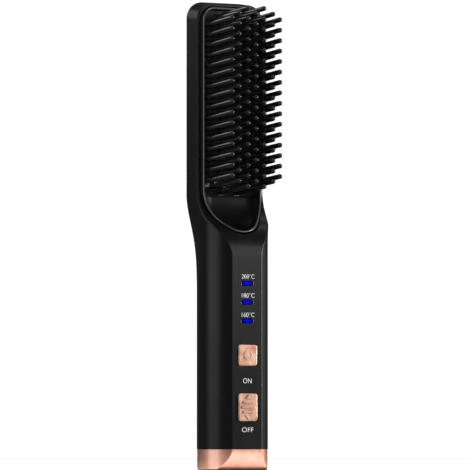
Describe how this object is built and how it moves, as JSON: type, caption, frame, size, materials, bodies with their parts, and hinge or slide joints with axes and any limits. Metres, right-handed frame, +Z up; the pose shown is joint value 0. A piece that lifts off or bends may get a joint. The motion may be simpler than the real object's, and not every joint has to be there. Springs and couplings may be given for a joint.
{
  "type": "mini hair straightener comb",
  "caption": "Slim cordless hair straightening comb: round handle with a flat control panel, narrow heated head with rows of pins, temperature lights, push button, slide switch and end cap.",
  "frame": {"origin": "centre line of the handle at the flat base of the end cap", "axes": "+Z up along the handle to the comb's top, -Y to the side that the pins and controls face, +X to the right of that side as seen from the front"},
  "size_m": [0.0332, 0.0395, 0.21],
  "materials": {
    "housing_black": "satin black moulded plastic",
    "tray_black": "satin black heat-proof plastic",
    "pin_black": "glossy black heat-proof plastic",
    "rose_gold": "rose-gold metallic plating on plastic",
    "heat_aluminium": "satin",
    "steel": "zinc-plated",
    "nickel": "bright nickel strip",
    "board_green": "solder-masked board",
    "switch_black": "matte",
    "inner_plastic": "grey moulded plastic",
    "window_blue": "clear plastic lit from behind in blue",
    "light_blue": "clear resin",
    "ceramic_white": "fired ceramic",
    "mica_amber": "pressed mica sheet",
    "cell_sleeve": "metal can in a blue shrink sleeve",
    "lead_rubber": "silicone insulation",
    "foam_grey": "foam",
    "sensor_resin": "epoxy bead"
  },
  "bodies": {
    "housing": {"front_shell": "housing_black", "rear_shell": "housing_black", "end_cap": "rose_gold", "comb_tray": "tray_black", "pin_strip_1": "pin_black", "pin_strip_2": "pin_black", "pin_strip_3": "pin_black", "pin_strip_4": "pin_black", "pin_strip_5": "pin_black", "pin_strip_6": "pin_black", "pin_strip_7": "pin_black", "heating_plate": "heat_aluminium", "ceramic_heaters": "ceramic_white", "heater_clamp": "heat_aluminium", "clamp_screws": "steel", "mica_sheet": "mica_amber", "thermistor": "sensor_resin", "thermal_fuse": "steel", "key_switch": "switch_black", "slide_switch": "steel", "light_guide": "window_blue", "blue_lights": "light_blue", "main_board": "board_green", "board_screws": "steel", "chassis": "inner_plastic", "chassis_screws": "steel", "battery_cell": "cell_sleeve", "battery_tabs": "nickel", "battery_pads": "foam_grey", "charge_socket": "nickel", "charge_board": "board_green", "cap_core": "inner_plastic", "core_screws": "steel", "heater_leads": "lead_rubber", "charge_leads": "lead_rubber"},
    "button": {"mode_button": "rose_gold", "key_plunger": "switch_black"},
    "power": {"slide_knob": "rose_gold", "slide_lever": "switch_black"}
  },
  "joints": [
    {"name": "button_press", "type": "slide", "parent": "housing", "child": "button", "axis": [0, 1, 0], "range_m": [0, 0.00035], "stiffness_N_per_m": 1500, "springref_m": -0.00025},
    {"name": "power_slide", "type": "slide", "parent": "housing", "child": "power", "axis": [0, 0, -1], "range_m": [0, 0.002]}
  ]
}
